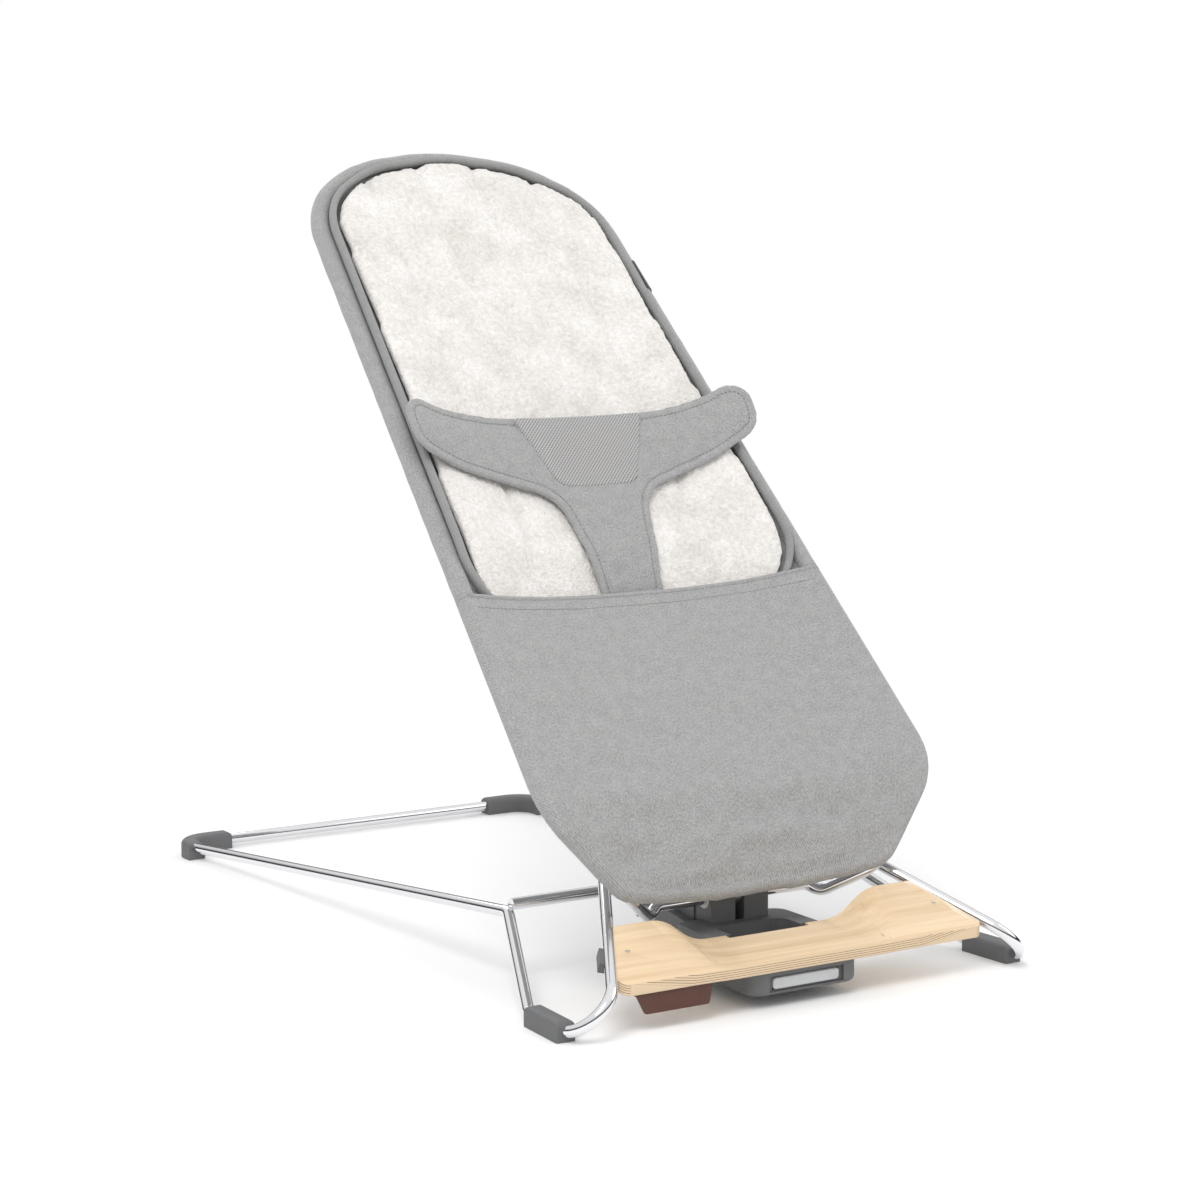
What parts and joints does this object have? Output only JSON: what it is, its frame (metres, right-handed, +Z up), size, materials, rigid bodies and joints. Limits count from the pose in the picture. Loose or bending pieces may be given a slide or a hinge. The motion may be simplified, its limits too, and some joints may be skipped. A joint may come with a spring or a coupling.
{
  "type": "baby bouncer seat",
  "caption": "Folding baby bouncer: sprung chrome rod base, plywood foot board, reclining rod-framed fabric seat with harness.",
  "frame": {"origin": "on the floor, under the middle of the overall width and length", "axes": "+X to the right seen from the front, +Y to the back, +Z up"},
  "size_m": [0.4592, 0.7941, 0.6792],
  "materials": {
    "chromed_rod": "bright chrome",
    "grey_rubberised_plastic": "soft-touch mid-dark grey",
    "grey_moulded_plastic": "fine spark texture, dark grey",
    "nylon": "natural nylon",
    "zinc_steel": "zinc plated",
    "spring_steel": "oiled spring wire",
    "hardened_steel": "blanked and tumbled",
    "light_grey_plastic": "satin light grey",
    "maple_plywood": "clear matt lacquer over pale maple veneer",
    "brushed_ferrule": "satin steel tube",
    "grey_melange_fabric": "light grey melange twill",
    "grey_air_mesh": "light grey spacer mesh",
    "cream_fleece": "off-white bouclé fleece with a grey binding",
    "black_woven_label": "black, blank",
    "brown_leather": "dark brown, blank"
  },
  "bodies": {
    "base": {"arm_bridge": "chromed_rod", "arm_left": "chromed_rod", "arm_right": "chromed_rod", "board_clip_left": "grey_rubberised_plastic", "board_clip_right": "grey_rubberised_plastic", "board_screws": "zinc_steel", "bridge_cap": "grey_moulded_plastic", "cap_screws": "zinc_steel", "crossbar": "chromed_rod", "crossbar_cap": "grey_moulded_plastic", "foot_board": "maple_plywood", "front_foot_left": "grey_rubberised_plastic", "front_foot_right": "grey_rubberised_plastic", "front_leg_left": "chromed_rod", "front_leg_right": "chromed_rod", "hinge_bush_left": "nylon", "hinge_bush_right": "nylon", "hinge_cap": "grey_moulded_plastic", "hub_deck": "grey_moulded_plastic", "hub_housing": "grey_moulded_plastic", "latch_springs": "spring_steel", "leather_tag": "brown_leather", "rear_bar": "chromed_rod", "rear_foot_left": "grey_rubberised_plastic", "rear_foot_right": "grey_rubberised_plastic", "side_rail_left": "chromed_rod", "side_rail_right": "chromed_rod"},
    "release": {"release_button": "light_grey_plastic", "latch_slide": "nylon"},
    "ratchet": {"ratchet_sector": "hardened_steel"},
    "seat": {"seat_frame_lower": "chromed_rod", "seat_frame_upper": "chromed_rod", "frame_ferrule_left": "brushed_ferrule", "frame_ferrule_right": "brushed_ferrule", "seat_sling": "grey_melange_fabric", "front_pocket": "grey_melange_fabric", "insert_pad": "cream_fleece", "harness": "grey_melange_fabric", "harness_mesh": "grey_air_mesh", "side_label": "black_woven_label"}
  },
  "joints": [
    {"name": "button_press", "type": "slide", "parent": "base", "child": "release", "axis": [0, 1, 0], "range_m": [0, 0.005], "stiffness_N_per_m": 800, "springref_m": -0.001, "deforming": ["latch_springs"]},
    {"name": "recline", "type": "hinge", "parent": "base", "child": "ratchet", "pos_m": [0, -0.27426, 0.0675], "axis": [-1, 0, 0], "range_deg": [0, 40]},
    {"name": "bounce", "type": "hinge", "parent": "ratchet", "child": "seat", "pos_m": [0, -0.27426, 0.0675], "axis": [-1, 0, 0], "range_deg": [-4, 4], "stiffness_Nm_per_rad": 60, "springref_deg": -3.72}
  ]
}
